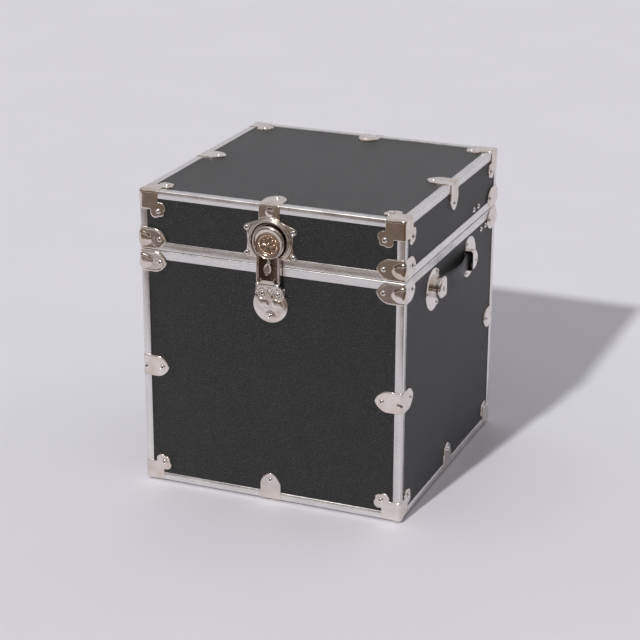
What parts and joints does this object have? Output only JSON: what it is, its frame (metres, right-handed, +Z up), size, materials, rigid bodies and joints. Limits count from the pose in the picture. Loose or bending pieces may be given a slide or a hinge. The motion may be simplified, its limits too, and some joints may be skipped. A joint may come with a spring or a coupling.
{
  "type": "footlocker",
  "caption": "Cube-shaped black footlocker with aluminium edging, nickel corner hardware, side handles, a hinged lid and a swinging hasp lock.",
  "frame": {"origin": "on the floor, under the middle of the trunk", "axes": "+X to the right, the lock faces -Y, +Z up"},
  "size_m": [0.459, 0.4591, 0.4876],
  "materials": {
    "black_vinyl": "embossed leather grain, low sheen",
    "edging_aluminium": "brushed, satin",
    "nickel_hardware": "bright nickel plate",
    "lock_steel": "dull",
    "handle_leather": "stitched, semi-matt",
    "lining": "matt"
  },
  "bodies": {
    "trunk": {"body_front_panel": "black_vinyl", "body_back_panel": "black_vinyl", "body_left_panel": "black_vinyl", "body_right_panel": "black_vinyl", "bottom_panel": "black_vinyl", "body_lining": "lining", "body_closure_rail": "edging_aluminium", "bottom_edge_angles": "edging_aluminium", "body_corner_angles": "edging_aluminium", "bottom_corner_caps": "nickel_hardware", "body_closure_clamps": "nickel_hardware", "post_clamps": "nickel_hardware", "bottom_edge_clamps": "nickel_hardware", "body_rivets": "nickel_hardware", "bottom_rivets": "nickel_hardware", "hasp_mount_plate": "nickel_hardware", "hasp_leaf": "nickel_hardware", "hasp_pin": "nickel_hardware", "hasp_leaf_rivets": "nickel_hardware", "right_handle_front_cap": "nickel_hardware", "right_handle_rear_cap": "nickel_hardware", "left_handle_front_cap": "nickel_hardware", "left_handle_rear_cap": "nickel_hardware", "handle_rivets": "nickel_hardware", "left_hinge_body_leaf": "nickel_hardware", "right_hinge_body_leaf": "nickel_hardware", "left_hinge_pin": "nickel_hardware", "right_hinge_pin": "nickel_hardware", "hinge_body_rivets": "nickel_hardware", "stay_body_bracket": "nickel_hardware"},
    "lid": {"lid_top_panel": "black_vinyl", "lid_front_panel": "black_vinyl", "lid_back_panel": "black_vinyl", "lid_left_panel": "black_vinyl", "lid_right_panel": "black_vinyl", "lid_lining": "lining", "lid_closure_rail": "edging_aluminium", "lid_top_angles": "edging_aluminium", "lid_corner_angles": "edging_aluminium", "lid_corner_caps": "nickel_hardware", "lid_closure_clamps": "nickel_hardware", "lid_edge_clamps": "nickel_hardware", "lock_edge_clamp": "nickel_hardware", "lock_plate": "nickel_hardware", "lock_rivets": "nickel_hardware", "lid_rivets": "nickel_hardware", "left_hinge_lid_leaf": "nickel_hardware", "right_hinge_lid_leaf": "nickel_hardware", "hinge_lid_rivets": "nickel_hardware", "stay_lid_bracket": "nickel_hardware"},
    "hasp": {"hasp": "nickel_hardware", "hasp_medallion": "nickel_hardware", "cover_pin": "nickel_hardware"},
    "keyhole_cover": {"keyhole_cover": "nickel_hardware"},
    "key_plug": {"key_plug": "lock_steel"},
    "right_grip": {"right_grip": "handle_leather"},
    "left_grip": {"left_grip": "handle_leather"},
    "stay_lower_arm": {"stay_lower_arm": "nickel_hardware"},
    "stay_upper_arm": {"stay_upper_arm": "nickel_hardware"}
  },
  "joints": [
    {"name": "lid_hinge", "type": "hinge", "parent": "trunk", "child": "lid", "pos_m": [0, 0.224, 0.3891], "axis": [-1, 0, 0], "range_deg": [0, 95]},
    {"name": "hasp_hinge", "type": "hinge", "parent": "trunk", "child": "hasp", "pos_m": [0.0015, -0.228, 0.3615], "axis": [1, 0, 0], "range_deg": [0, 165]},
    {"name": "keyhole_cover_pivot", "type": "hinge", "parent": "hasp", "child": "keyhole_cover", "pos_m": [0.003, -0.2275, 0.3975], "axis": [0, 1, 0], "range_deg": [-40, 35]},
    {"name": "key_turn", "type": "hinge", "parent": "hasp", "child": "key_plug", "pos_m": [0.0015, -0.2235, 0.385], "axis": [0, 1, 0], "range_deg": [0, 90]},
    {"name": "right_grip_pull", "type": "slide", "parent": "trunk", "child": "right_grip", "axis": [1, 0, 0], "range_m": [0, 0.004]},
    {"name": "left_grip_pull", "type": "slide", "parent": "trunk", "child": "left_grip", "axis": [-1, 0, 0], "range_m": [0, 0.004]},
    {"name": "stay_lower_pivot", "type": "hinge", "parent": "trunk", "child": "stay_lower_arm", "pos_m": [0.2003, 0.161, 0.3651], "axis": [-1, 0, 0], "range_deg": [0, 95]},
    {"name": "stay_upper_pivot", "type": "hinge", "parent": "lid", "child": "stay_upper_arm", "pos_m": [0.1985, 0.118, 0.4101], "axis": [1, 0, 0], "range_deg": [0, 95]}
  ],
  "couplings": [
    {"joint": "stay_lower_pivot", "follows": "lid_hinge", "ratio": 1},
    {"joint": "stay_upper_pivot", "follows": "lid_hinge", "ratio": 1}
  ]
}
